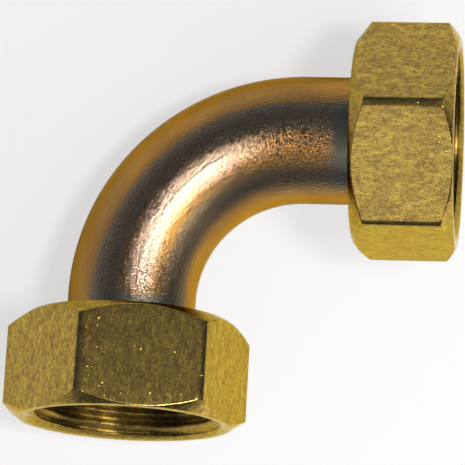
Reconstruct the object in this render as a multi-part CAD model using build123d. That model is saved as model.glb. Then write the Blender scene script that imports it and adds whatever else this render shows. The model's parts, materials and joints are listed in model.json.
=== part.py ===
from build123d import *
import math
import os

# Ninety degree copper elbow with a captive hexagonal union nut on each end. Millimetres, +Z up.
# It lies as it comes to rest: the bend and the back of both nuts touch the surface, so both legs rise.
# The pieces are built with the legs' axes crossing at the origin, the lower leg along -Y and the right
# leg along +X, and are then laid down with the origin under the middle of their bounding box.

# Copper tube
TUBE_DIAMETER = 18.0
TUBE_WALL = 1.0
BEND_RADIUS = 23.6
LOWER_LEG = 7.9
RIGHT_LEG = 11.6

# Collar: the end of the tube itself, rolled outwards
COLLAR_DIAMETER = 23.4
COLLAR_THICKNESS = 1.0
COLLAR_ROOT = 0.4
COLLAR_FLARE = 0.9
COLLAR_EDGE_CHAMFER = 0.2

# Flat seal that lies against the collar
SEAL_DIAMETER = 23.8
SEAL_HOLE = 17.0
SEAL_THICKNESS = 2.0

# Union nut, outside
ACROSS_FLATS = 30.0
NUT_HEIGHT = 14.5
NUT_CORNER_RADIUS = 1.4
FRONT_FACE_INSET = 0.1
BACK_FACE_INSET = 0.7
FRONT_CHAMFER_ANGLE = 35.0
BACK_CHAMFER_ANGLE = 37.5

# How far each nut is swivelled about its leg, from resting squarely on one flat
LOWER_NUT_TURN = 3.3
RIGHT_NUT_TURN = 4.7

# Union nut, inside: G 3/4 thread, bored here to the thread's inner diameter
THREAD_MINOR_DIAMETER = 24.117
THREAD_MAJOR_DIAMETER = 26.441
MOUTH_RIM = 1.0
MOUTH_CHAMFER_DEPTH = 1.2
SHOULDER_THICKNESS = 3.5
BACK_EDGE_CHAMFER = 0.4

# Clearances
TUBE_CLEARANCE = 0.25
SEAT_GAP = 0.1
ROOT_CLEARANCE = 0.1
RELIEF_CLEARANCE = 0.2

# Steps of the search for the resting position
HALVINGS = 50

tube_radius = TUBE_DIAMETER / 2
bore_radius = tube_radius - TUBE_WALL


def turned(*outline):
    """Solid of revolution about Z from a closed outline in radius and height."""
    return revolve(Plane.XZ * make_face(outline), Axis.Z)


def tube_leg(length):
    """Straight leg along +Z, from the bend to the front of its rolled collar."""
    collar_back = length - COLLAR_THICKNESS
    collar_radius = COLLAR_DIAMETER / 2
    return turned(
        Polyline(
            (bore_radius, 0),
            (tube_radius, 0),
            (tube_radius, collar_back - COLLAR_ROOT),
            (tube_radius + COLLAR_ROOT, collar_back),
            (collar_radius - COLLAR_EDGE_CHAMFER, collar_back),
            (collar_radius, collar_back + COLLAR_EDGE_CHAMFER),
            (collar_radius, length - COLLAR_EDGE_CHAMFER),
            (collar_radius - COLLAR_EDGE_CHAMFER, length),
            (bore_radius + COLLAR_FLARE, length),
            (bore_radius, length - COLLAR_FLARE),
            close=True,
        )
    )


def elbow_tube():
    """Bend and two legs, with one wall all the way round."""
    section = Circle(tube_radius) - Circle(bore_radius)
    bend_axis = Axis((BEND_RADIUS, -BEND_RADIUS, 0), (0, 0, 1))
    bend = revolve(Plane.YZ.offset(BEND_RADIUS) * section, bend_axis, 90)
    lower = Pos(Y=-BEND_RADIUS) * Rot(X=90) * tube_leg(LOWER_LEG)
    right = Pos(X=BEND_RADIUS) * Rot(Y=90) * tube_leg(RIGHT_LEG)
    return bend + lower + right


def union_nut():
    """Nut along +Z from its back face to its mouth, with one flat facing +X."""
    front_radius = ACROSS_FLATS / 2 - FRONT_FACE_INSET
    back_radius = ACROSS_FLATS / 2 - BACK_FACE_INSET
    blank_radius = ACROSS_FLATS / math.sqrt(3)
    back_rise = (blank_radius - back_radius) * math.tan(math.radians(BACK_CHAMFER_ANGLE))
    front_rise = (blank_radius - front_radius) * math.tan(math.radians(FRONT_CHAMFER_ANGLE))
    hole_radius = tube_radius + TUBE_CLEARANCE
    seat_chamfer = COLLAR_ROOT + ROOT_CLEARANCE
    minor_radius = THREAD_MINOR_DIAMETER / 2
    relief_radius = THREAD_MAJOR_DIAMETER / 2 + RELIEF_CLEARANCE
    relief_end = SHOULDER_THICKNESS + SEAT_GAP + COLLAR_THICKNESS + SEAL_THICKNESS + RELIEF_CLEARANCE
    body = turned(
        Polyline(
            (hole_radius + BACK_EDGE_CHAMFER, 0),
            (back_radius, 0),
            (blank_radius, back_rise),
            (blank_radius, NUT_HEIGHT - front_rise),
            (front_radius, NUT_HEIGHT),
            (front_radius - MOUTH_RIM, NUT_HEIGHT),
            (minor_radius, NUT_HEIGHT - MOUTH_CHAMFER_DEPTH),
            (minor_radius, relief_end),
            (relief_radius, relief_end),
            (relief_radius, SHOULDER_THICKNESS),
            (hole_radius + seat_chamfer, SHOULDER_THICKNESS),
            (hole_radius, SHOULDER_THICKNESS - seat_chamfer),
            (hole_radius, BACK_EDGE_CHAMFER),
            close=True,
        )
    )
    hexagon = RegularPolygon(ACROSS_FLATS / 2, 6, major_radius=False, rotation=30)
    prism = extrude(fillet(hexagon.vertices(), NUT_CORNER_RADIUS), NUT_HEIGHT)
    return body & prism


def flat_seal():
    """Ring along +Z with its back against the collar."""
    return extrude(Circle(SEAL_DIAMETER / 2) - Circle(SEAL_HOLE / 2), SEAL_THICKNESS)


def rise(height, flat_start):
    """Angle at which a leg rises when its nut rests on the back edge of a flat.

    height: of the crossing of the legs' axes above the surface.
    flat_start: distance from that crossing to the back edge of the nut's flats.
    """
    flat = ACROSS_FLATS / 2
    return math.atan2(flat, flat_start) - math.asin(height / math.hypot(flat, flat_start))


def resting_up(lower_start, right_start):
    """Direction away from the surface that the bend and both nuts touch, found by halving."""
    low, high = 0.0, ACROSS_FLATS / 2
    for _ in range(HALVINGS):
        height = (low + high) / 2
        lower_rise = math.sin(rise(height, lower_start))
        right_rise = math.sin(rise(height, right_start))
        lean = math.hypot(lower_rise, right_rise)
        under_bend = height + BEND_RADIUS * (lower_rise + right_rise - lean) - tube_radius
        if under_bend > 0:
            high = height
        else:
            low = height
    return Vector(right_rise, -lower_rise, math.sqrt(1 - lean**2))


def leg_plane(mouth, distance, up, turn):
    """Plane across a leg, facing its mouth, with X along the normal of the nut's upper flat."""
    square = (up - mouth * up.dot(mouth)).normalized()
    return Plane(mouth * distance, x_dir=square.rotate(Axis((0, 0, 0), mouth), turn), z_dir=mouth)


collar_to_nut_back = COLLAR_THICKNESS + SEAT_GAP + SHOULDER_THICKNESS
lower_collar = BEND_RADIUS + LOWER_LEG
right_collar = BEND_RADIUS + RIGHT_LEG
collar_to_flat = collar_to_nut_back - BACK_FACE_INSET * math.tan(math.radians(BACK_CHAMFER_ANGLE))
up = resting_up(lower_collar - collar_to_flat, right_collar - collar_to_flat)
nodes = {"elbow_tube": elbow_tube()}
for side, mouth, collar, turn in (
    ("lower", Vector(0, -1, 0), lower_collar, LOWER_NUT_TURN),
    ("right", Vector(1, 0, 0), right_collar, RIGHT_NUT_TURN),
):
    nodes[f"{side}_union_nut"] = leg_plane(mouth, collar - collar_to_nut_back, up, turn) * union_nut()
    nodes[f"{side}_flat_seal"] = leg_plane(mouth, collar, up, turn) * flat_seal()

# Laid down, the right leg heads for +X
heading = Vector(1, 0, 0) - up * up.X
laid = Plane((0, 0, 0), x_dir=heading, z_dir=up).location.inverse()
box = Compound([laid * solid for solid in nodes.values()]).bounding_box()
laid = Pos(-(box.min.X + box.max.X) / 2, -(box.min.Y + box.max.Y) / 2, -box.min.Z) * laid
print("size", box.size, "legs rise", [round(math.degrees(math.asin(s)), 2) for s in (-up.Y, up.X)])
os.makedirs("parts", exist_ok=True)
for name, solid in nodes.items():
    export_step(laid * solid, f"parts/{name}.step")
    print(name, round(solid.volume), "mm3")
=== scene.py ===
# %% [markdown]
# # A copper elbow with two swivelling union nuts
# The imported solids are the fixed frame. The tube and both nuts are replaced by finer meshes of the same
# size, each riding on the body that carries it, and the two seals are kept and given a finish.

# %% Load the frame
import json
import math

import bpy
import numpy as np
from mathutils import Matrix, Vector


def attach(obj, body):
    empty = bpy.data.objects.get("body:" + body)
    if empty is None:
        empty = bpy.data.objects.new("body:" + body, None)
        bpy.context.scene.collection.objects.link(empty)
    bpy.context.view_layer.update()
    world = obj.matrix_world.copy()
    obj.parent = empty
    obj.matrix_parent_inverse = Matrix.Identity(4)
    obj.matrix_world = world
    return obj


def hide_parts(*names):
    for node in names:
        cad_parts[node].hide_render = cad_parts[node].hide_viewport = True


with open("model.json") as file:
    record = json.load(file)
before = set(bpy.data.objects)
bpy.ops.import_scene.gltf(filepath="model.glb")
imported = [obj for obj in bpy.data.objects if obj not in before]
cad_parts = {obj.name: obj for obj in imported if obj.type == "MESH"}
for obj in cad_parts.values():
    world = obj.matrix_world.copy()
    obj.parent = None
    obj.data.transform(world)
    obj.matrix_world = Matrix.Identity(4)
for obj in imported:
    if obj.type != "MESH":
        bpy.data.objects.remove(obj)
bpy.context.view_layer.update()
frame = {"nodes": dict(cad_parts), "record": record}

MM = 0.001

# %% [markdown]
# ## Where the legs point
# The elbow lies tipped on its bend and on the backs of both nuts, so no leg follows a row axis. The
# record's two thread mounts hold each leg's direction. They are square to each other, so the point
# where they cross follows from one projection. These "bend axes" have +X along the right leg, -Y along
# the lower leg and +Z square to the bend, and every piece is first built in them or along one leg.

# %% Bend axes from the two mounts
mounts = {mount["name"]: mount for mount in frame["record"]["mounts"]}
lower_mouth = Vector(mounts["lower_thread"]["axis"]).normalized()
right_mouth = Vector(mounts["right_thread"]["axis"]).normalized()
lower_thread = Vector(mounts["lower_thread"]["pos_m"])
right_thread = Vector(mounts["right_thread"]["pos_m"])
crossing = lower_thread + lower_mouth * (right_thread - lower_thread).dot(lower_mouth)


def axes_matrix(x_axis, y_axis, place):
    """Matrix whose X and Y columns are the given directions, at a place."""
    columns = Matrix((x_axis, y_axis, x_axis.cross(y_axis))).transposed()
    return Matrix.Translation(place) @ columns.to_4x4()


bend_axes = axes_matrix(right_mouth, -lower_mouth, crossing)
print("legs cross at", [round(v / MM, 2) for v in crossing])

# %% [markdown]
# ## Helpers for turned pieces
# A nut and a straight tube are both closed outlines carried round an axis. A stack of columns, one
# outline for each angle, gives clean quads whose lines follow the real edges, which a Boolean would
# not. Each outline corner is softened by a short curve, because a real edge is never perfectly sharp
# and the small round is what catches the light. A curve takes at most a share of the edges beside it,
# so that two curves never meet on a short edge.

# %% Closed skin from columns of outline points
def skin(name, points):
    """Closed mesh from points[column, row], joined round both ways, with its faces outwards."""
    columns, rows = points.shape[:2]
    index = np.arange(columns * rows).reshape(columns, rows)
    beside = np.roll(index, -1, 0)
    faces = np.stack([index, beside, np.roll(beside, -1, 1), np.roll(index, -1, 1)], -1).reshape(-1, 4)
    flat = points.reshape(-1, 3)
    corner = flat[faces]
    volume = np.einsum("ij,ij->", corner[:, 0], np.cross(corner[:, 1], corner[:, 2]))
    volume += np.einsum("ij,ij->", corner[:, 0], np.cross(corner[:, 2], corner[:, 3]))
    if volume < 0:
        faces = faces[:, ::-1]
    mesh = bpy.data.meshes.new(name)
    mesh.from_pydata(flat.tolist(), [], faces.tolist())
    mesh.shade_smooth()
    print(name, "skin of", columns, "columns and", rows, "rows")
    return mesh


# %% Softened corners and rows between two points
EDGE_SHARE = 0.4
ROWS_PER_CORNER = 4


def soften(corners):
    """Outline points from (corner, reach) pairs, each corner cut by a curve that starts at reach."""
    softened = []
    for i, (corner, reach) in enumerate(corners):
        ends = []
        for neighbour, _ in (corners[i - 1], corners[(i + 1) % len(corners)]):
            way = neighbour - corner
            length = np.linalg.norm(way, axis=-1, keepdims=True)
            ends.append(way * (np.minimum(reach, EDGE_SHARE * length) / length))
        for share in np.linspace(0, 1, ROWS_PER_CORNER):
            softened.append(corner + ends[0] * (1 - share) ** 2 + ends[1] * share**2)
    return softened


def between(start, end, parts):
    """Points strictly between two outline points."""
    return [start + (end - start) * k / parts for k in range(1, parts)]


# %% [markdown]
# ## Helpers for Geometry Nodes
# The thread and the bend each follow a rule, so each is a Geometry Nodes tree with its sizes as named
# inputs. Such a tree is mostly arithmetic on a point's X, Y and Z. One helper adds a Math node fed
# with sockets or plain numbers, so that a rule can be written like a formula. The last helper runs a
# tree on a mesh and keeps the result as a plain mesh in its place, with nothing left to evaluate.

# %% Arithmetic and the two ends of a tree
def node_math(tree, operation, *values):
    """Math node in a tree, fed with sockets or numbers, and its result socket."""
    node = tree.nodes.new("ShaderNodeMath")
    node.operation = operation
    for socket, value in zip(node.inputs, values):
        if isinstance(value, bpy.types.NodeSocket):
            tree.links.new(value, socket)
        else:
            socket.default_value = value
    return node.outputs[0]


def new_tree(name, sizes):
    """Geometry Nodes tree with a geometry in and out, and one named number for each size."""
    tree = bpy.data.node_groups.new(name, "GeometryNodeTree")
    tree.interface.new_socket("Geometry", in_out="OUTPUT", socket_type="NodeSocketGeometry")
    tree.interface.new_socket("Geometry", in_out="INPUT", socket_type="NodeSocketGeometry")
    for size in sizes:
        tree.interface.new_socket(size, in_out="INPUT", socket_type="NodeSocketFloat")
    print("tree", name, "with", ", ".join(sizes))
    return tree, tree.nodes.new("NodeGroupInput"), tree.nodes.new("NodeGroupOutput")


def split_position(tree):
    """Sockets of a point's X, Y and Z."""
    split = tree.nodes.new("ShaderNodeSeparateXYZ")
    tree.links.new(tree.nodes.new("GeometryNodeInputPosition").outputs[0], split.inputs[0])
    return split.outputs


def end_tree(tree, geometry, material, group_out):
    """Closes a tree with real geometry and one material."""
    real = tree.nodes.new("GeometryNodeRealizeInstances")
    dressed = tree.nodes.new("GeometryNodeSetMaterial")
    dressed.inputs["Material"].default_value = material
    tree.links.new(geometry, real.inputs[0])
    tree.links.new(real.outputs[0], dressed.inputs[0])
    tree.links.new(dressed.outputs[0], group_out.inputs[0])


# %% Plain mesh from a tree
LARGE_FACE_WEIGHT = 90
SHARP_ANGLE = math.radians(35)


def shaped_by(tree, sizes, mesh, name, place):
    """Plain object from a mesh shaped by a tree, laid in its place."""
    maker = bpy.data.objects.new(name + "_maker", mesh)
    bpy.context.scene.collection.objects.link(maker)
    modifier = maker.modifiers.new(tree.name, "NODES")
    modifier.node_group = tree
    maker.modifiers.new("Large faces stay flat", "WEIGHTED_NORMAL").weight = LARGE_FACE_WEIGHT
    for item in tree.interface.items_tree:
        if item.in_out == "INPUT" and item.name in sizes:
            modifier[item.identifier] = sizes[item.name]
    evaluated = maker.evaluated_get(bpy.context.evaluated_depsgraph_get())
    made = bpy.data.meshes.new_from_object(evaluated)
    bpy.data.objects.remove(maker)
    made.transform(place)
    made.name = name
    made.set_sharp_from_angle(angle=SHARP_ANGLE)
    piece = bpy.data.objects.new(name, made)
    bpy.context.scene.collection.objects.link(piece)
    print(name, len(made.loops) - 2 * len(made.polygons), "triangles")
    return piece


# %% [markdown]
# ## Helpers for materials
# Worn metal is layers of noise laid over each other. An image would slide or stretch on the many faces,
# while noise read from a point's place has the same grain everywhere. Each helper adds one node and
# returns its result: a noise, a ramp that picks a range of it, a mix of two colours, and a bump. Below,
# a named noise is its settings, and named stops are pairs of a value and the share that it gives.

# %% Noise, ramp, mix and bump
def new_material(name):
    """Empty node material with its shader and tree."""
    material = bpy.data.materials.new(name)
    material.use_nodes = True
    return material, material.node_tree, material.node_tree.nodes["Principled BSDF"]


def noise(tree, vector, scale, detail=4.0, roughness=0.6, stretch=(1, 1, 1)):
    """Noise in a vector's own units, drawn out where stretch is small. Returns its 0 to 1 value."""
    mapping = tree.nodes.new("ShaderNodeMapping")
    mapping.inputs["Scale"].default_value = stretch
    tree.links.new(vector, mapping.inputs["Vector"])
    node = tree.nodes.new("ShaderNodeTexNoise")
    node.inputs["Scale"].default_value = scale
    node.inputs["Detail"].default_value = detail
    node.inputs["Roughness"].default_value = roughness
    tree.links.new(mapping.outputs[0], node.inputs["Vector"])
    return node.outputs[0]


def ramp(tree, value, *stops):
    """Colour ramp from (position, colour or grey level) stops."""
    node = tree.nodes.new("ShaderNodeValToRGB")
    elements = node.color_ramp.elements
    while len(elements) < len(stops):
        elements.new(0.5)
    for element, (position, level) in zip(elements, stops):
        element.position = position
        element.color = (level, level, level, 1) if isinstance(level, float) else (*level, 1)
    tree.links.new(value, node.inputs[0])
    return node.outputs[0]


def mix_colour(tree, share, first, second, blend="MIX"):
    """Mix of two colours, each a socket or a tuple. The node's colours are its inputs 6 and 7."""
    node = tree.nodes.new("ShaderNodeMix")
    node.data_type = "RGBA"
    node.blend_type = blend
    for k, value in ((0, share), (6, first), (7, second)):
        if isinstance(value, bpy.types.NodeSocket):
            tree.links.new(value, node.inputs[k])
        else:
            node.inputs[k].default_value = value if isinstance(value, float) else (*value, 1)
    return node.outputs[2]


def bump(tree, height, normal, depth, strength):
    """Bump from a 0 to 1 height, so many millimetres deep, on top of an earlier normal or None."""
    node = tree.nodes.new("ShaderNodeBump")
    node.inputs["Distance"].default_value = depth * MM
    node.inputs["Strength"].default_value = strength
    tree.links.new(height, node.inputs["Height"])
    if normal:
        tree.links.new(normal, node.inputs["Normal"])
    return node.outputs[0]


# %% [markdown]
# ## Brass of the nuts
# The nuts are turned and milled from hexagon bar and then tumbled, so their faces are dull and mottled,
# with faint streaks along the bar, brown blotches and reddish patches. Noise read in the nut's own
# straight frame stays in place when the nut turns and can be drawn out along the bar, so a Mapping node
# turns Object coordinates into that frame. The streaks and the grain also darken the colour, because a
# tumbled face keeps dirt in its low spots.

# %% Colour of tumbled brass
BRASS = (0.66, 0.475, 0.085)
BRASS_DARK = (0.25, 0.175, 0.06)
BRASS_RED = (0.33, 0.150, 0.06)
BLOTCHES = {"scale": 900, "detail": 7.0, "roughness": 0.8, "stretch": (1, 1, 0.5)}
BLOTCH_STOPS = ((0.34, 1.0), (0.62, 0.0))
RED_PATCHES = {"scale": 1600, "detail": 5.0, "roughness": 0.8}
RED_STOPS = ((0.50, 0.0), (0.59, 0.85))
STREAK_SHADE = 0.65
STREAK_STOPS = ((0.34, 0.35), (0.58, 1.0))
GRAIN_SHADE = 0.6
GRAIN_STOPS = ((0.36, 0.35), (0.56, 1.0))


def nut_coordinates(tree, nut_frame):
    """Object coordinates turned into the nut's own frame, whose Z is its axis."""
    place = tree.nodes.new("ShaderNodeMapping")
    place.vector_type = "TEXTURE"
    place.inputs["Location"].default_value = nut_frame.translation
    place.inputs["Rotation"].default_value = nut_frame.to_euler()
    tree.links.new(tree.nodes.new("ShaderNodeTexCoord").outputs["Object"], place.inputs["Vector"])
    return place.outputs[0]


def brass_colour(tree, local, streaks, grain):
    """Brown blotches and red patches on brass, darkened by its streaks and grain."""
    blotches = ramp(tree, noise(tree, local, **BLOTCHES), *BLOTCH_STOPS)
    colour = mix_colour(tree, blotches, BRASS, BRASS_DARK)
    red = ramp(tree, noise(tree, local, **RED_PATCHES), *RED_STOPS)
    colour = mix_colour(tree, red, colour, BRASS_RED)
    colour = mix_colour(tree, STREAK_SHADE, colour, ramp(tree, streaks, *STREAK_STOPS), "MULTIPLY")
    return mix_colour(tree, GRAIN_SHADE, colour, ramp(tree, grain, *GRAIN_STOPS), "MULTIPLY")


# %% [markdown]
# ## Gloss and relief of the brass
# The bore is finished differently from the flats. A cutting tool leaves rings round the axis, which draw
# each highlight out, so the bore gets a duller, anisotropic gloss set by the nut's axis, and rings as
# bump. A point belongs to the bore when it lies near enough to the axis, which needs no second
# material. Sparse small chips sparkle on the faces: the middles of Voronoi cells are the pits, and a
# coarse noise chooses the few places that have them.

# %% Gloss of the flats and of the turned bore
BRASS_ROUGHNESS_STOPS = ((0.3, 0.13), (0.7, 0.20))
BORE_LIMIT = 13.6
BORE_DULLNESS = 0.20
BORE_ANISOTROPY = 0.95


def inside_bore(tree, local):
    """1 near the nut's axis and 0 outside the bore."""
    split = tree.nodes.new("ShaderNodeSeparateXYZ")
    tree.links.new(local, split.inputs[0])
    across = [node_math(tree, "POWER", split.outputs[k], 2.0) for k in (0, 1)]
    return node_math(tree, "LESS_THAN", node_math(tree, "ADD", *across), (BORE_LIMIT * MM) ** 2)


def give_brass_gloss(tree, shader, nut_frame, grain, in_bore):
    """Grainy gloss on the faces, duller and drawn out by the turning in the bore."""
    dullness = node_math(tree, "MULTIPLY", in_bore, BORE_DULLNESS)
    roughness = node_math(tree, "ADD", ramp(tree, grain, *BRASS_ROUGHNESS_STOPS), dullness)
    tree.links.new(roughness, shader.inputs["Roughness"])
    drawn_out = node_math(tree, "MULTIPLY", in_bore, BORE_ANISOTROPY)
    tree.links.new(drawn_out, shader.inputs["Anisotropic"])
    along = tree.nodes.new("ShaderNodeVectorTransform")
    along.convert_from = "OBJECT"
    along.convert_to = "WORLD"
    along.inputs[0].default_value = nut_frame.col[2][:3]
    tree.links.new(along.outputs[0], shader.inputs["Tangent"])


# %% Relief of the brass
BRASS_GRAIN_BUMP = {"depth": 0.008, "strength": 0.5}
BRASS_STREAK_BUMP = {"depth": 0.01, "strength": 0.5}
CHIP_SCALE = 1500
PIT_STOPS = ((0.0, 1.0), (0.18, 0.0))
CHIPPED_PLACES = {"scale": 500, "detail": 2.0, "roughness": 0.5}
CHIPPED_STOPS = ((0.50, 0.0), (0.60, 1.0))
CHIP_BUMP = {"depth": 0.08, "strength": 0.6}
TURNED_RINGS = {"scale": 3800, "detail": 3.0, "roughness": 0.7, "stretch": (0.02, 0.02, 1)}
RING_BUMP = {"depth": 0.06, "strength": 0.8}


def brass_relief(tree, local, streaks, grain, in_bore):
    """Grain, streaks and sparse chips everywhere, and turned rings in the bore."""
    rough = bump(tree, grain, None, **BRASS_GRAIN_BUMP)
    rough = bump(tree, streaks, rough, **BRASS_STREAK_BUMP)
    cells = tree.nodes.new("ShaderNodeTexVoronoi")
    cells.inputs["Scale"].default_value = CHIP_SCALE
    tree.links.new(local, cells.inputs["Vector"])
    pits = ramp(tree, cells.outputs["Distance"], *PIT_STOPS)
    chosen = ramp(tree, noise(tree, local, **CHIPPED_PLACES), *CHIPPED_STOPS)
    rough = bump(tree, node_math(tree, "MULTIPLY", pits, chosen), rough, **CHIP_BUMP)
    rings = node_math(tree, "MULTIPLY", noise(tree, local, **TURNED_RINGS), in_bore)
    return bump(tree, rings, rough, **RING_BUMP)


# %% The brass as one material
BRASS_EDGE = (0.92, 0.78, 0.42)
BRASS_STREAKS = {"scale": 3800, "detail": 4.0, "roughness": 0.75, "stretch": (1, 1, 0.22)}
BRASS_GRAIN = {"scale": 5200, "detail": 3.0, "roughness": 0.7}


def tumbled_brass(name, nut_frame):
    """Brass whose grain follows the nut's own axis."""
    material, tree, shader = new_material(name)
    local = nut_coordinates(tree, nut_frame)
    streaks = noise(tree, local, **BRASS_STREAKS)
    grain = noise(tree, local, **BRASS_GRAIN)
    in_bore = inside_bore(tree, local)
    tree.links.new(brass_colour(tree, local, streaks, grain), shader.inputs["Base Color"])
    give_brass_gloss(tree, shader, nut_frame, grain, in_bore)
    tree.links.new(brass_relief(tree, local, streaks, grain, in_bore), shader.inputs["Normal"])
    shader.inputs["Metallic"].default_value = 1.0
    shader.inputs["Specular Tint"].default_value = (*BRASS_EDGE, 1)
    print("finish", name, "from", len(tree.nodes), "nodes")
    return material


# %% [markdown]
# ## The union nuts
# A union nut is a hexagon whose corners are chamfered at both ends, bored and threaded from the front,
# with a shoulder at the back that pulls the collar of the tube. The back chamfer is so deep that it
# cuts the middle of each flat as well, and the mouth opens over a curved lead-in. The nut's outline
# differs only with the hexagon's radius at each angle, so one outline is written for all columns at
# once. The chamfer meets each flat on a curve, and rows placed on that meeting line keep it crisp.

# %% Columns round the rounded hexagon, in millimetres
ACROSS_FLATS = 30.0
CORNER_RADIUS = 1.4
STEPS_PER_FLAT = 30
STEPS_PER_CORNER = 6
SIDES = 6
HALF_SIDE = math.pi / SIDES


def hexagon_columns():
    """Angles round the nut and the rounded hexagon's radius at each."""
    flat = ACROSS_FLATS / 2
    centre = (flat - CORNER_RADIUS) / math.cos(HALF_SIDE)
    tangent = (flat - CORNER_RADIUS) * math.tan(HALF_SIDE)
    across = np.linspace(-tangent, tangent, STEPS_PER_FLAT + 1)
    swing = np.linspace(-HALF_SIDE, HALF_SIDE, STEPS_PER_CORNER + 1)[1:-1]
    corner_x = centre + CORNER_RADIUS * np.cos(swing)
    corner_y = CORNER_RADIUS * np.sin(swing)
    corner_angle = np.arctan2(corner_y, corner_x) + HALF_SIDE
    angles = np.concatenate([np.arctan2(across, flat), corner_angle])
    radii = np.concatenate([np.hypot(flat, across), np.hypot(corner_x, corner_y)])
    turns = np.arange(SIDES) * (2 * HALF_SIDE)
    return (angles[None] + turns[:, None]).ravel(), np.tile(radii, SIDES)


# %% Sizes of the nut, in millimetres
NUT_HEIGHT = 14.5
FRONT_INSET = 0.1
BACK_INSET = 0.7
FRONT_CHAMFER = math.tan(math.radians(35))
BACK_CHAMFER = math.tan(math.radians(37.5))
HOLE_RADIUS = 9.25
BACK_EDGE = 0.4
SHOULDER = 3.5
SEAT_CHAMFER = 0.5
THREAD_MINOR = 24.117 / 2
THREAD_MAJOR = 26.441 / 2
THREAD_PITCH = 1.814
RELIEF_RADIUS = THREAD_MAJOR + 0.2
RELIEF_END = 6.8
MOUTH_RADIUS = 14.0
MOUTH_DEPTH = 1.6
print("nut", ACROSS_FLATS, "mm across flats, thread", round(2 * THREAD_MAJOR, 3), "mm outside")

# %% [markdown]
# ## How sharp the nut's edges are
# The edges turned inside are almost sharp. The two faces end in wider rounds that show as bright rings,
# and the lines where the chamfers meet the flats are worn a little more at the back than at the front.
# Rows lie close together on the threaded stretch, because the thread is only as fine as they are.

# %% The nut before its thread is cut, in millimetres
TURNED_ROUND = 0.05
BACK_FACE_ROUND = 0.25
BACK_LINE_ROUND = 0.14
FRONT_LINE_ROUND = 0.09
FRONT_FACE_ROUND = 0.2
MOUTH_ROUND = 0.08
RELIEF_ROUND = 0.15
ROWS_PER_PITCH = 20
STEPS_ALONG_FLAT = 10


def nut_rows(hexagon):
    """Rows of the nut's outline before, on and after its thread, from its hole round to its bore."""
    front_face = ACROSS_FLATS / 2 - FRONT_INSET
    back_face = ACROSS_FLATS / 2 - BACK_INSET

    def at(radius, height):
        """One outline point for every column."""
        return np.stack(np.broadcast_arrays(radius, height, hexagon)[:2], -1)

    back = [
        (at(HOLE_RADIUS + BACK_EDGE, 0), TURNED_ROUND),
        (at(back_face, 0), BACK_FACE_ROUND),
        (at(hexagon, (hexagon - back_face) * BACK_CHAMFER), BACK_LINE_ROUND),
    ]
    front = [
        (at(hexagon, NUT_HEIGHT - (hexagon - front_face) * FRONT_CHAMFER), FRONT_LINE_ROUND),
        (at(front_face, NUT_HEIGHT), FRONT_FACE_ROUND),
        (at(MOUTH_RADIUS, NUT_HEIGHT), MOUTH_ROUND),
    ]
    lead_end = (at(THREAD_MINOR, NUT_HEIGHT - MOUTH_DEPTH), 0.0)
    bore = [
        (at(THREAD_MINOR, RELIEF_END), TURNED_ROUND),
        (at(RELIEF_RADIUS, RELIEF_END), TURNED_ROUND),
        (at(RELIEF_RADIUS, SHOULDER), RELIEF_ROUND),
        (at(HOLE_RADIUS + SEAT_CHAMFER, SHOULDER), TURNED_ROUND),
        (at(HOLE_RADIUS, SHOULDER - SEAT_CHAMFER), TURNED_ROUND),
        (at(HOLE_RADIUS, BACK_EDGE), TURNED_ROUND),
    ]
    soft = soften([*back, *front, lead_end, *bore])
    front_start = len(back) * ROWS_PER_CORNER
    front_end = front_start + len(front) * ROWS_PER_CORNER
    inside = soft[-len(bore) * ROWS_PER_CORNER :]
    flat_rows = between(soft[front_start - 1], soft[front_start], STEPS_ALONG_FLAT)
    top = soft[front_end - 1][0, 1]
    bottom = inside[0][0, 1]
    thread_steps = round((top - bottom) / THREAD_PITCH * ROWS_PER_PITCH)
    threaded = []
    for height in np.linspace(top, bottom, thread_steps + 1)[1:-1]:
        lead = max((height - NUT_HEIGHT + MOUTH_DEPTH) / MOUTH_DEPTH, 0) ** 2
        threaded.append(at(THREAD_MINOR + lead * (MOUTH_RADIUS - THREAD_MINOR), height))
    return soft[:front_start] + flat_rows + soft[front_start:front_end], threaded, inside


def nut_mesh():
    """Nut along +Z from its back to its mouth, one flat facing +X, bored but not yet threaded."""
    angles, hexagon = hexagon_columns()
    before, threaded, after = nut_rows(hexagon)
    outline = np.stack(before + threaded + after, 1) * MM
    radius, height = outline[..., 0], outline[..., 1]
    around = angles[:, None]
    mesh = skin("nut", np.stack([radius * np.cos(around), radius * np.sin(around), height], -1))
    chosen = np.zeros(outline.shape[:2], bool)
    chosen[:, len(before) : len(before) + len(threaded)] = True
    mesh.attributes.new("threaded", "BOOLEAN", "POINT").data.foreach_set("value", chosen.ravel())
    return mesh


# %% [markdown]
# ## The thread
# The pipe thread is a groove that climbs one pitch in each turn. Modelling it as a swept cut would need
# a slow Boolean. Its rule is simple: a point's height less its share of a turn, folded back and forth
# once a pitch, gives the depth. So a Geometry Nodes tree pushes the rows of the bore outwards by that
# rule. The groove's flanks stand at 55 degrees, which makes a sharp triangle 0.9605 of a pitch high, and
# a sixth is cut off at its crest and its root, as in the standard. A point is only ever pushed outwards,
# so the groove fades away in the wider mouth as a real one does.

# %% Tree that cuts an internal thread
TRIANGLE_HEIGHT = 0.9605 * THREAD_PITCH
CUT_OFF_SHARE = 1 / 6
THREAD_START = 0.9


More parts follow.
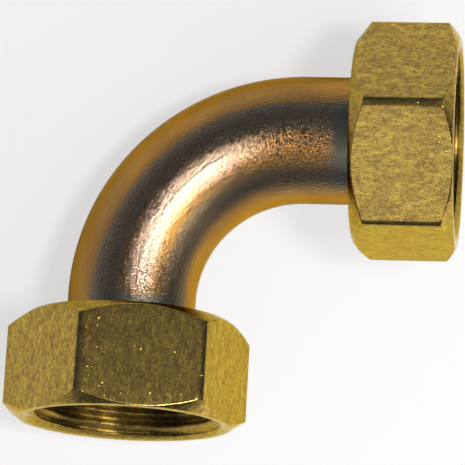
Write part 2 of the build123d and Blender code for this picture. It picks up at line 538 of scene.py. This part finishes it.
def thread_tree(material):
    """Pushes threaded rows outwards to the groove's radius."""
    names = ("Start", "Pitch", "Minor Radius", "Depth", "Full Height")
    tree, group_in, group_out = new_tree("Cut Thread", names)
    x, y, z = split_position(tree)
    start, pitch, minor, depth, full = (group_in.outputs[name] for name in names)
    turn = node_math(tree, "DIVIDE", node_math(tree, "ARCTAN2", y, x), math.tau)
    past_start = node_math(tree, "SUBTRACT", z, start)
    climb = node_math(tree, "SUBTRACT", node_math(tree, "DIVIDE", past_start, pitch), turn)
    fold = node_math(tree, "MULTIPLY", node_math(tree, "PINGPONG", climb, 0.5), 2.0)
    height = node_math(tree, "MULTIPLY", full, node_math(tree, "SUBTRACT", fold, CUT_OFF_SHARE))
    height = node_math(tree, "MINIMUM", node_math(tree, "MAXIMUM", height, 0.0), depth)
    x_part, y_part = (node_math(tree, "POWER", part, 2.0) for part in (x, y))
    radius = node_math(tree, "SQRT", node_math(tree, "ADD", x_part, y_part))
    wanted = node_math(tree, "MAXIMUM", radius, node_math(tree, "ADD", minor, height))
    grow = node_math(tree, "DIVIDE", wanted, radius)
    joined = tree.nodes.new("ShaderNodeCombineXYZ")
    tree.links.new(node_math(tree, "MULTIPLY", x, grow), joined.inputs[0])
    tree.links.new(node_math(tree, "MULTIPLY", y, grow), joined.inputs[1])
    tree.links.new(z, joined.inputs[2])
    chosen = tree.nodes.new("GeometryNodeInputNamedAttribute")
    chosen.data_type = "BOOLEAN"
    chosen.inputs["Name"].default_value = "threaded"
    move = tree.nodes.new("GeometryNodeSetPosition")
    tree.links.new(group_in.outputs["Geometry"], move.inputs["Geometry"])
    tree.links.new(chosen.outputs["Attribute"], move.inputs["Selection"])
    tree.links.new(joined.outputs[0], move.inputs["Position"])
    end_tree(tree, move.outputs[0], material, group_out)
    return tree


# %% [markdown]
# ## Both nuts on their legs
# A loose nut turns on its tube until something stops it, so the two stand at different angles. Each is
# laid on its leg with one flat facing up and then turned by a few degrees, as in the photograph. One
# loop makes both, and each nut rides on its own body, so it can swivel.

# %% The lower and the right nut
LOWER_BACK = 26.9
RIGHT_BACK = 30.6
LOWER_TURN = 3.3
RIGHT_TURN = 4.7
UP = Vector((0, 0, 1))

thread_sizes = {
    "Start": THREAD_START * MM,
    "Pitch": THREAD_PITCH * MM,
    "Minor Radius": THREAD_MINOR * MM,
    "Depth": (THREAD_MAJOR - THREAD_MINOR) * MM,
    "Full Height": TRIANGLE_HEIGHT * MM,
}


def frame_on_leg(mouth, back, turn):
    """Frame of a nut whose back is so far along a leg, turned from having a flat facing up."""
    square = (UP - mouth * UP.dot(mouth)).normalized()
    flat = Matrix.Rotation(math.radians(turn), 3, mouth) @ square
    return axes_matrix(flat, mouth.cross(flat), crossing + mouth * back * MM)


for side, mouth, back, turn in (
    ("lower", lower_mouth, LOWER_BACK, LOWER_TURN),
    ("right", right_mouth, RIGHT_BACK, RIGHT_TURN),
):
    nut_frame = frame_on_leg(mouth, back, turn)
    brass = tumbled_brass(f"{side}_nut_brass", nut_frame)
    nut = shaped_by(thread_tree(brass), thread_sizes, nut_mesh(), f"{side}_threaded_nut", nut_frame)
    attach(nut, f"{side}_nut")
    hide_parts(f"{side}_union_nut")

# %% [markdown]
# ## The bent tube
# The real elbow is one piece of drawn tube, cut, rolled out into a collar at both ends and bent. The
# scene makes it the same way: a straight tube with both collars, one wall all the way round, and a tree
# that bends it. Sweeping a circle along a curve would be quicker, but such a tube has no collars, and
# its points don't know where they lay on the straight tube, which the finish needs.

# %% Straight tube with its collars, in millimetres
TUBE_RADIUS = 9.0
BORE_RADIUS = 8.0
BEND_RADIUS = 23.6
LOWER_LEG = 7.9
RIGHT_LEG = 11.6
TUBE_LENGTH = LOWER_LEG + BEND_RADIUS * math.pi / 2 + RIGHT_LEG
COLLAR_RADIUS = 11.7
COLLAR_THICKNESS = 1.0
COLLAR_ROOT = 0.4
COLLAR_FLARE = 0.9
COLLAR_EDGE = 0.2
ROOT_ROUND = 0.3
RIM_ROUND = 0.1
FLARE_ROUND = 0.4
TUBE_COLUMNS = 144
TUBE_ROW_STEP = 0.6


def collar(away):
    """Outline of one collar, from the outer wall to the bore, at distances from its front."""
    points = (
        (TUBE_RADIUS, away(COLLAR_THICKNESS + COLLAR_ROOT), ROOT_ROUND),
        (TUBE_RADIUS + COLLAR_ROOT, away(COLLAR_THICKNESS), ROOT_ROUND),
        (COLLAR_RADIUS - COLLAR_EDGE, away(COLLAR_THICKNESS), RIM_ROUND),
        (COLLAR_RADIUS, away(COLLAR_THICKNESS - COLLAR_EDGE), RIM_ROUND),
        (COLLAR_RADIUS, away(COLLAR_EDGE), RIM_ROUND),
        (COLLAR_RADIUS - COLLAR_EDGE, away(0), RIM_ROUND),
        (BORE_RADIUS + COLLAR_FLARE, away(0), FLARE_ROUND),
        (BORE_RADIUS, away(COLLAR_FLARE), FLARE_ROUND),
    )
    return [(np.array([(radius, height)]), reach) for radius, height, reach in points]


def tube_mesh():
    """Straight tube along +Z from the front of the lower collar, inside and outside as one skin."""
    far = collar(lambda distance: TUBE_LENGTH - distance)
    near = collar(lambda distance: distance)[::-1]
    soft = soften(far + near)
    half = len(soft) // 2
    steps = round(TUBE_LENGTH / TUBE_ROW_STEP)
    bore = between(soft[half - 1], soft[half], steps)
    outer = between(soft[-1], soft[0], steps)
    outline = np.concatenate(soft[:half] + bore + soft[half:] + outer) * MM
    around = np.arange(TUBE_COLUMNS) * math.tau / TUBE_COLUMNS
    radius, height = outline[None, :, 0], outline[None, :, 1]
    x, y = radius * np.cos(around)[:, None], radius * np.sin(around)[:, None]
    return skin("tube", np.stack([x, y, np.broadcast_to(height, x.shape)], -1))


# %% [markdown]
# ## Bending it
# Up to the end of the lower leg nothing turns, then each point swings about the bend's centre, and past
# a quarter turn the right leg runs straight again. The tree first stores each point's straight place as
# an attribute, so that the finish can follow the tube round the bend.

# %% Tree that bends the tube
def bend_tree(material):
    """Swings a straight tube about the bend's centre. A point's X is its distance outwards."""
    tree, group_in, group_out = new_tree("Bend Tube", ("Bend Radius", "Lower Leg"))
    bend, leg = group_in.outputs["Bend Radius"], group_in.outputs["Lower Leg"]
    x, y, z = split_position(tree)
    store = tree.nodes.new("GeometryNodeStoreNamedAttribute")
    store.data_type = "FLOAT_VECTOR"
    store.inputs["Name"].default_value = "straight_place"
    tree.links.new(group_in.outputs["Geometry"], store.inputs["Geometry"])
    tree.links.new(tree.nodes.new("GeometryNodeInputPosition").outputs[0], store.inputs["Value"])
    past_leg = node_math(tree, "SUBTRACT", z, leg)
    arc = node_math(tree, "MULTIPLY", bend, math.pi / 2)
    on_arc = node_math(tree, "MINIMUM", node_math(tree, "MAXIMUM", past_leg, 0.0), arc)
    swing = node_math(tree, "DIVIDE", on_arc, bend)
    straight = node_math(tree, "SUBTRACT", past_leg, on_arc)
    reach = node_math(tree, "ADD", bend, x)
    sine, cosine = node_math(tree, "SINE", swing), node_math(tree, "COSINE", swing)
    across = node_math(tree, "SUBTRACT", bend, node_math(tree, "MULTIPLY", reach, cosine))
    across = node_math(tree, "ADD", across, node_math(tree, "MULTIPLY", straight, sine))
    upward = node_math(tree, "SUBTRACT", node_math(tree, "MULTIPLY", reach, sine), bend)
    upward = node_math(tree, "ADD", upward, node_math(tree, "MULTIPLY", straight, cosine))
    joined = tree.nodes.new("ShaderNodeCombineXYZ")
    for socket, value in zip(joined.inputs, (across, upward, y)):
        tree.links.new(value, socket)
    move = tree.nodes.new("GeometryNodeSetPosition")
    tree.links.new(store.outputs[0], move.inputs["Geometry"])
    tree.links.new(joined.outputs[0], move.inputs["Position"])
    end_tree(tree, move.outputs[0], material, group_out)
    return tree


# %% [markdown]
# ## Copper of the tube
# Drawn tube carries fine lines along its length and random brown stains. Three layers of the colour are
# painted light: a painted highlight of bright copper on the crown of the bend, where the overhead lamp's
# hot spot falls and fading out along the right leg; painted dark reflections in slate along both flanks,
# the outer one wider towards the lower leg; and painted reflections of the nuts' dark backs at both ends.
# All of this bends with the tube, so it can't be read from Object coordinates. The stored straight place
# gives two plain numbers instead: how far round a point lies, from 0 on the outside of the bend to 1 on
# its inside, and how far along. Each layer is a ramp over one of them, and the noise of the stains makes
# its edge ragged.

# %% Where a point lies on the tube
RAGGED_ROUND = 0.06
RAGGED_ALONG = 0.04


def place_on_tube(tree, local, stains):
    """Sockets for how far round a point lies, the same with a ragged edge, and how far along."""
    split = tree.nodes.new("ShaderNodeSeparateXYZ")
    tree.links.new(local, split.inputs[0])
    sideways = node_math(tree, "ABSOLUTE", split.outputs[1])
    around = node_math(tree, "ARCTAN2", sideways, split.outputs[0])
    around = node_math(tree, "DIVIDE", around, math.pi)
    centred = node_math(tree, "SUBTRACT", stains, 0.5)
    ragged = node_math(tree, "ADD", around, node_math(tree, "MULTIPLY", centred, RAGGED_ROUND))
    along = node_math(tree, "DIVIDE", split.outputs[2], TUBE_LENGTH * MM)
    along = node_math(tree, "ADD", along, node_math(tree, "MULTIPLY", stains, RAGGED_ALONG))
    return around, ragged, along


# %% Layers of the copper's colour
# Bright copper of a painted highlight, laid on the crown where the overhead lamp's hot spot falls.
COPPER_PAINTED_HIGHLIGHT = (0.86, 0.59, 0.39)
COPPER = (0.45, 0.225, 0.050)
COPPER_BROWN = (0.33, 0.165, 0.045)
COPPER_SLATE = (0.19, 0.185, 0.135)
STAINS = {"scale": 260, "detail": 5.0, "roughness": 0.65, "stretch": (1, 1, 0.45)}
STAIN_STOPS = ((0.38, 1.0), (0.62, 0.0))
# Painted dark reflections in slate along both flanks, the outer one wider towards the lower leg.
OUTER_REFLECTION_WIDENING = ((0.08, 0.07), (0.40, 0.0))
OUTER_DARK_REFLECTION = ((0.36, 0.0), (0.40, 0.75), (0.50, 0.6), (0.57, 0.0))
INNER_DARK_REFLECTION = ((0.68, 0.0), (0.74, 0.65), (0.82, 0.55), (0.88, 0.0))
# Where the painted highlight lies round the tube and along it.
HIGHLIGHT_BAND = ((0.50, 0.0), (0.56, 1.0), (0.61, 1.0), (0.67, 0.0))
HIGHLIGHT_LENGTH = ((0.12, 0.0), (0.17, 1.0), (0.58, 1.0), (0.74, 0.1))
CROWN = ((0.43, 0.0), (0.51, 1.0), (0.68, 1.0), (0.78, 0.0))
FLECK_STOPS = ((0.40, 0.25), (0.50, 0.80), (0.60, 1.0))
FLECK_SHARE = 0.9
# Painted reflections of the nuts' dark backs at both ends of the tube.
NUT_REFLECTION_ENDS = ((0.125, 1.0), (0.15, 0.0), (0.88, 0.0), (0.91, 1.0))
NUT_REFLECTION_ROUND = ((0.36, 0.0), (0.42, 0.95), (0.80, 0.95), (0.88, 0.0))
DARK_LINE_STOPS = ((0.28, 0.9), (0.50, 0.0))
DRAW_LINE = 0.275
DRAW_LINE_HALF = 0.004
DRAW_LINE_SHARE = 0.6
DRAW_LINE_WAVE = 0.008


def painted_highlight(tree, ragged, along):
    """Share of painted highlight: bright copper in a band on the crown, where the overhead lamp's hot
    spot falls, fading out along the right leg.
    """
    band = ramp(tree, ragged, *HIGHLIGHT_BAND)
    return node_math(tree, "MULTIPLY", band, ramp(tree, along, *HIGHLIGHT_LENGTH))


def painted_nut_reflection(tree, outer, along):
    """Share of slate at both ends of the tube, a painted reflection of the nuts' dark backs."""
    ends = ramp(tree, along, *NUT_REFLECTION_ENDS)
    return node_math(tree, "MULTIPLY", ends, ramp(tree, outer, *NUT_REFLECTION_ROUND))


def draw_line(tree, around, stains):
    """Share of one dark line along the tube, slightly wavy."""
    wavy = node_math(tree, "ADD", around, node_math(tree, "MULTIPLY", stains, DRAW_LINE_WAVE))
    low, high = DRAW_LINE - DRAW_LINE_HALF, DRAW_LINE + DRAW_LINE_HALF
    return ramp(tree, wavy, (low, 0.0), (DRAW_LINE, DRAW_LINE_SHARE), (high, 0.0))


def copper_colour(tree, local, lines, grain):
    """Brown copper with a painted highlight on the crown, painted dark reflections on the flanks and
    ends, flecks and draw lines.
    """
    stains = noise(tree, local, **STAINS)
    around, ragged, along = place_on_tube(tree, local, stains)
    outer = node_math(tree, "ADD", ragged, ramp(tree, along, *OUTER_REFLECTION_WIDENING))
    colour = mix_colour(tree, ramp(tree, stains, *STAIN_STOPS), COPPER, COPPER_BROWN)
    # Painted dark reflections along both flanks.
    colour = mix_colour(tree, ramp(tree, outer, *OUTER_DARK_REFLECTION), colour, COPPER_SLATE)
    colour = mix_colour(tree, ramp(tree, ragged, *INNER_DARK_REFLECTION), colour, COPPER_SLATE)
    # Painted highlight: bright copper where the overhead lamp's hot spot falls.
    colour = mix_colour(tree, painted_highlight(tree, ragged, along), colour, COPPER_PAINTED_HIGHLIGHT)
    flecked = node_math(tree, "MULTIPLY", ramp(tree, ragged, *CROWN), FLECK_SHARE)
    colour = mix_colour(tree, flecked, colour, ramp(tree, grain, *FLECK_STOPS), "MULTIPLY")
    # Painted reflection of the nuts' dark backs at both ends.
    colour = mix_colour(tree, painted_nut_reflection(tree, outer, along), colour, COPPER_SLATE)
    colour = mix_colour(tree, ramp(tree, lines, *DARK_LINE_STOPS), colour, COPPER_SLATE)
    return mix_colour(tree, draw_line(tree, around, stains), colour, COPPER_SLATE)


# %% The copper as one material
COPPER_EDGE = (0.86, 0.63, 0.27)
FINE_LINES = {"scale": 2200, "detail": 4.0, "roughness": 0.65, "stretch": (1, 1, 0.03)}
FINE_LINE_BUMP = {"depth": 0.03, "strength": 0.35}
COPPER_GRAIN = {"scale": 3400, "detail": 3.0, "roughness": 0.7, "stretch": (1, 1, 0.8)}
COPPER_GRAIN_BUMP = {"depth": 0.12, "strength": 0.7}
COPPER_ROUGHNESS_STOPS = ((0.3, 0.16), (0.7, 0.27))


def drawn_copper():
    """Copper whose colour, gloss and relief follow the straight tube's own coordinates."""
    material, tree, shader = new_material("drawn_copper")
    straight = tree.nodes.new("ShaderNodeAttribute")
    straight.attribute_name = "straight_place"
    local = straight.outputs["Vector"]
    lines = noise(tree, local, **FINE_LINES)
    grain = noise(tree, local, **COPPER_GRAIN)
    tree.links.new(copper_colour(tree, local, lines, grain), shader.inputs["Base Color"])
    tree.links.new(ramp(tree, grain, *COPPER_ROUGHNESS_STOPS), shader.inputs["Roughness"])
    rough = bump(tree, lines, None, **FINE_LINE_BUMP)
    rough = bump(tree, grain, rough, **COPPER_GRAIN_BUMP)
    tree.links.new(rough, shader.inputs["Normal"])
    shader.inputs["Metallic"].default_value = 1.0
    shader.inputs["Specular Tint"].default_value = (*COPPER_EDGE, 1)
    print("finish", material.name, "from", len(tree.nodes), "nodes")
    return material


# %% The tube, bent and in its place
bend_sizes = {"Bend Radius": BEND_RADIUS * MM, "Lower Leg": LOWER_LEG * MM}
tube = shaped_by(bend_tree(drawn_copper()), bend_sizes, tube_mesh(), "bent_copper_tube", bend_axes)
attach(tube, "elbow")
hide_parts("elbow_tube")

# %% [markdown]
# ## The flat seals
# A flat rubber ring lies against each collar, deep in the nut. Its shape is already right in the frame,
# so the node stays and only gets a finish: dark moulded rubber with a fine, dusty grain.

# %% Moulded rubber
RUBBER = (0.035, 0.035, 0.037)
RUBBER_DUST = (0.09, 0.088, 0.085)
DUST = {"scale": 700, "detail": 5.0, "roughness": 0.7}
DUST_STOPS = ((0.45, 0.0), (0.75, 0.6))
DULL_SPOTS = {"scale": 1500}
RUBBER_ROUGHNESS_STOPS = ((0.3, 0.55), (0.7, 0.75))
RUBBER_GRAIN = {"scale": 4000, "detail": 2.0}
RUBBER_BUMP = {"depth": 0.03, "strength": 0.5}

rubber, tree, shader = new_material("moulded_rubber")
place = tree.nodes.new("ShaderNodeTexCoord").outputs["Object"]
dust = ramp(tree, noise(tree, place, **DUST), *DUST_STOPS)
tree.links.new(mix_colour(tree, dust, RUBBER, RUBBER_DUST), shader.inputs["Base Color"])
roughness = ramp(tree, noise(tree, place, **DULL_SPOTS), *RUBBER_ROUGHNESS_STOPS)
tree.links.new(roughness, shader.inputs["Roughness"])
rough = bump(tree, noise(tree, place, **RUBBER_GRAIN), None, **RUBBER_BUMP)
tree.links.new(rough, shader.inputs["Normal"])

for node in ("lower_flat_seal", "right_flat_seal"):
    seal = frame["nodes"][node]
    seal.data.materials.clear()
    seal.data.materials.append(rubber)
    print(node, "finished as", rubber.name)

# %% [markdown]
# ## The floor
# Metal shows its surroundings, so the floor is part of the finish: the warm edges of the tube and the
# lower edges of the nuts mirror it. The photograph is cut out on white. More lamp light would bleach
# the metal too, so the rays that come straight from the camera see a darker floor that glows by itself,
# which looks nearly white and still holds the object's shadow. All other rays see a plain white floor.

# %% White floor
FLOOR_HALF_SIZE = 2.0
FLOOR_WHITE = (0.9, 0.9, 0.9)
FLOOR_SEEN = (0.24, 0.24, 0.24)
FLOOR_GLOW = (1, 0.99, 0.97)
GLOW_STRENGTH = 0.65
FLOOR_ROUGHNESS = 0.9

corners = [(x * FLOOR_HALF_SIZE, y * FLOOR_HALF_SIZE, 0) for x, y in ((-1, -1), (1, -1), (1, 1), (-1, 1))]
floor_mesh = bpy.data.meshes.new("floor")
floor_mesh.from_pydata(corners, [], [(0, 1, 2, 3)])
floor = bpy.data.objects.new("floor", floor_mesh)
bpy.context.scene.collection.objects.link(floor)

white, tree, shader = new_material("white_floor")
seen = tree.nodes.new("ShaderNodeLightPath").outputs["Is Camera Ray"]
tree.links.new(mix_colour(tree, seen, FLOOR_WHITE, FLOOR_SEEN), shader.inputs["Base Color"])
tree.links.new(node_math(tree, "MULTIPLY", seen, GLOW_STRENGTH), shader.inputs["Emission Strength"])
shader.inputs["Emission Color"].default_value = (*FLOOR_GLOW, 1)
shader.inputs["Roughness"].default_value = FLOOR_ROUGHNESS
shader.inputs["Specular IOR Level"].default_value = 0.0
floor_mesh.materials.append(white)
print("floor", 2 * FLOOR_HALF_SIZE, "m wide, glowing at", GLOW_STRENGTH)

# %% [markdown]
# ## The camera
# The photograph was taken from nearly straight above with a long lens. The camera's turn and place were
# fitted to the outlines of the tube, the nuts and the lower mouth. They are kept in bend axes, so they
# stay right when the resting position changes. The small shift is the photograph's own framing.

# %% Camera, as worked out from the photograph's outlines in bend axes
FRAME_PIXELS = 465
SENSOR = 36.0
FOCAL_PIXELS = 2801.8
CAMERA_DISTANCE = 400.0
TURN = Vector((-0.24035, -0.12406, -0.03958))
SLIDE = Vector((-13.698, 13.074, 0))
OFF_CENTRE = (5.9, -3.8)
NEAREST_SEEN = 0.01

to_camera = Matrix.Rotation(TURN.length, 4, TURN.normalized())
bend_to_camera = Matrix.Translation((SLIDE - Vector((0, 0, CAMERA_DISTANCE))) * MM) @ to_camera
lens = bpy.data.cameras.new("camera")
lens.sensor_width = SENSOR
lens.lens = FOCAL_PIXELS / FRAME_PIXELS * SENSOR
lens.shift_x = -OFF_CENTRE[0] / FRAME_PIXELS
lens.shift_y = OFF_CENTRE[1] / FRAME_PIXELS
lens.clip_start = NEAREST_SEEN
camera = bpy.data.objects.new("camera", lens)
bpy.context.scene.collection.objects.link(camera)
camera.matrix_world = bend_axes @ bend_to_camera.inverted()
bpy.context.scene.camera = camera
print("camera at", [round(v, 3) for v in camera.matrix_world.translation], "lens", round(lens.lens, 1))

# %% [markdown]
# ## The lamps
# Metal mirrors each lamp, so the size of a lamp is the size of its highlight. A small overhead lamp
# gives the hot spot on the crown of the bend. A wide lamp at the left front lights the flats that face
# it, and a small one at the right front shines into the lower nut's mouth. The last one stands low and
# close by and isn't mirrored, so it only brightens the floor that the metal mirrors.

# %% Four soft round lamps
def lamp(name, direction, distance, size, power):
    """Soft round lamp in a direction of the row frame, facing the middle of the part."""
    light = bpy.data.lights.new(name, "AREA")
    light.shape = "DISK"
    light.size = size
    light.energy = power
    place = bpy.data.objects.new(name, light)
    bpy.context.scene.collection.objects.link(place)
    away = Vector(direction).normalized()
    turn = away.to_track_quat("Z", "Y").to_matrix().to_4x4()
    place.matrix_world = Matrix.Translation(away * distance) @ turn
    print("lamp", name, "of", power, "W,", distance, "m away")
    return place


lamp("overhead", direction=(0.17, 0.15, 0.97), distance=0.55, size=0.12, power=1.75)
lamp("left_front", direction=(-0.42, -0.33, 0.85), distance=0.60, size=0.32, power=0.26)
lamp("right_front", direction=(0.54, -0.10, 0.84), distance=0.60, size=0.10, power=0.46)
floor_light = lamp("floor_light", direction=(0.60, -0.70, 0.42), distance=0.30, size=0.20, power=0.75)
floor_light.visible_glossy = False

# %% [markdown]
# ## The room
# Above the floor the metal mirrors the room. A darker, slightly cool room gives the slate bands inside
# the tube's warm edges, and a lighter ceiling keeps the faces that look upwards from going black. One
# ramp over the height of the sky does both.

# %% Sky from the horizon to overhead
HORIZON = (0.12, 0.14, 0.22)
HALFWAY = (0.17, 0.19, 0.28)
OVERHEAD = (0.31, 0.31, 0.36)
SKY_STOPS = ((0.0, HORIZON), (0.30, HORIZON), (0.65, HALFWAY), (1.0, OVERHEAD))

world = bpy.data.worlds.new("room")
bpy.context.scene.world = world
world.use_nodes = True
sky = world.node_tree
split = sky.nodes.new("ShaderNodeSeparateXYZ")
sky.links.new(sky.nodes.new("ShaderNodeTexCoord").outputs["Generated"], split.inputs[0])
sky.links.new(ramp(sky, split.outputs[2], *SKY_STOPS), sky.nodes["Background"].inputs["Color"])

bpy.context.scene.view_settings.view_transform = "Standard"
print("room from", HORIZON, "at the horizon to", OVERHEAD, "overhead")
